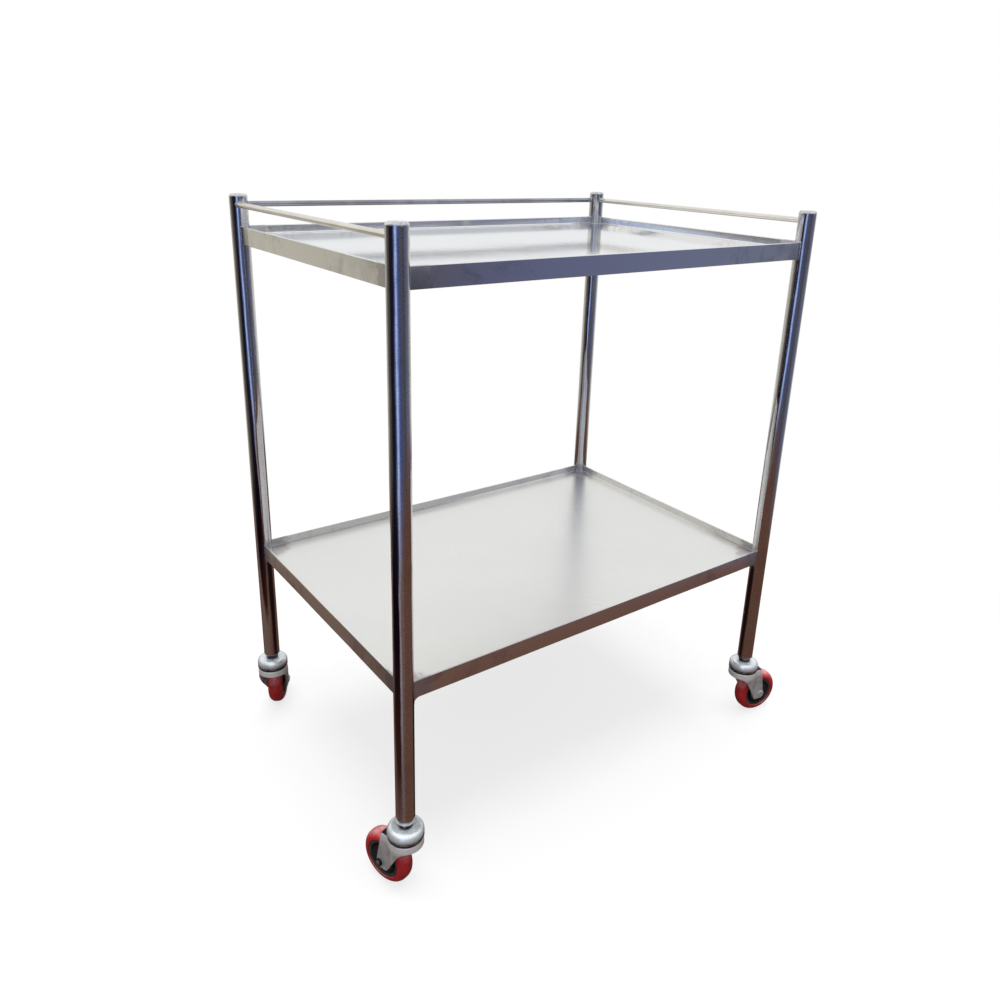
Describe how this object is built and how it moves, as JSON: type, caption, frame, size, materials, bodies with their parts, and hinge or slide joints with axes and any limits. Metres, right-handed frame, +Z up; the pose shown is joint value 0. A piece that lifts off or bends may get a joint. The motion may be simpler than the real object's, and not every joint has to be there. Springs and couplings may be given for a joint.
{
  "type": "equipment trolley",
  "caption": "Two-shelf stainless steel equipment trolley on tubular posts, with guard rails on three sides of the upper shelf and swivel casters.",
  "frame": {"origin": "on the floor, midway between the four posts", "axes": "+X along the long side, the open side without a rail faces -Y, +Z up"},
  "size_m": [0.7754, 0.5498, 0.8643],
  "materials": {
    "polished_steel": "mirror polished stainless steel",
    "sheet_steel": "bright rolled stainless sheet",
    "zinc_steel": "bright zinc plated steel",
    "fork_steel": "zinc plated pressed steel, satin",
    "dark_steel": "blackened steel",
    "ball_steel": "ground bearing steel",
    "core_plastic": "moulded dark grey plastic",
    "tyre_red": "red elastomer"
  },
  "bodies": {
    "frame": {"post_front_left": "polished_steel", "post_front_right": "polished_steel", "post_rear_left": "polished_steel", "post_rear_right": "polished_steel", "post_caps": "polished_steel", "tube_end_inserts": "zinc_steel", "left_guard_rail": "polished_steel", "rear_guard_rail": "polished_steel", "right_guard_rail": "polished_steel", "upper_tray": "sheet_steel", "lower_tray": "sheet_steel", "upper_tray_stiffener": "sheet_steel", "lower_tray_stiffener": "sheet_steel", "stem_jam_nuts": "zinc_steel", "lower_races": "zinc_steel", "swivel_ball_rings": "ball_steel", "caster_stems": "dark_steel", "race_caps": "zinc_steel"},
    "fork_front_left": {"fork_front_left": "fork_steel", "axle_bolt_front_left": "zinc_steel", "axle_nut_front_left": "dark_steel"},
    "wheel_front_left": {"hub_bush_front_left": "zinc_steel", "wheel_core_front_left": "core_plastic", "tyre_front_left": "tyre_red"},
    "fork_front_right": {"fork_front_right": "fork_steel", "axle_bolt_front_right": "zinc_steel", "axle_nut_front_right": "dark_steel"},
    "wheel_front_right": {"hub_bush_front_right": "zinc_steel", "wheel_core_front_right": "core_plastic", "tyre_front_right": "tyre_red"},
    "fork_rear_left": {"fork_rear_left": "fork_steel", "axle_bolt_rear_left": "zinc_steel", "axle_nut_rear_left": "dark_steel"},
    "wheel_rear_left": {"hub_bush_rear_left": "zinc_steel", "wheel_core_rear_left": "core_plastic", "tyre_rear_left": "tyre_red"},
    "fork_rear_right": {"fork_rear_right": "fork_steel", "axle_bolt_rear_right": "zinc_steel", "axle_nut_rear_right": "dark_steel"},
    "wheel_rear_right": {"hub_bush_rear_right": "zinc_steel", "wheel_core_rear_right": "core_plastic", "tyre_rear_right": "tyre_red"}
  },
  "joints": [
    {"name": "swivel_front_left", "type": "hinge", "parent": "frame", "child": "fork_front_left", "pos_m": [-0.3375, -0.23, 0.09], "axis": [0, 0, 1], "continuous": true},
    {"name": "roll_front_left", "type": "hinge", "parent": "fork_front_left", "child": "wheel_front_left", "pos_m": [-0.3468, -0.19959, 0.0381], "axis": [-0.9563, -0.2924, 0], "continuous": true},
    {"name": "swivel_front_right", "type": "hinge", "parent": "frame", "child": "fork_front_right", "pos_m": [0.3375, -0.23, 0.09], "axis": [0, 0, 1], "continuous": true},
    {"name": "roll_front_right", "type": "hinge", "parent": "fork_front_right", "child": "wheel_front_right", "pos_m": [0.36861, -0.23661, 0.0381], "axis": [0.2079, 0.9781, 0], "continuous": true},
    {"name": "swivel_rear_left", "type": "hinge", "parent": "frame", "child": "fork_rear_left", "pos_m": [-0.3375, 0.23, 0.09], "axis": [0, 0, 1], "continuous": true},
    {"name": "roll_rear_left", "type": "hinge", "parent": "fork_rear_left", "child": "wheel_rear_left", "pos_m": [-0.32065, 0.25697, 0.0381], "axis": [-0.848, 0.5299, 0], "continuous": true},
    {"name": "swivel_rear_right", "type": "hinge", "parent": "frame", "child": "fork_rear_right", "pos_m": [0.3375, 0.23, 0.09], "axis": [0, 0, 1], "continuous": true},
    {"name": "roll_rear_right", "type": "hinge", "parent": "fork_rear_right", "child": "wheel_rear_right", "pos_m": [0.36355, 0.24824, 0.0381], "axis": [-0.5736, 0.8192, 0], "continuous": true}
  ]
}
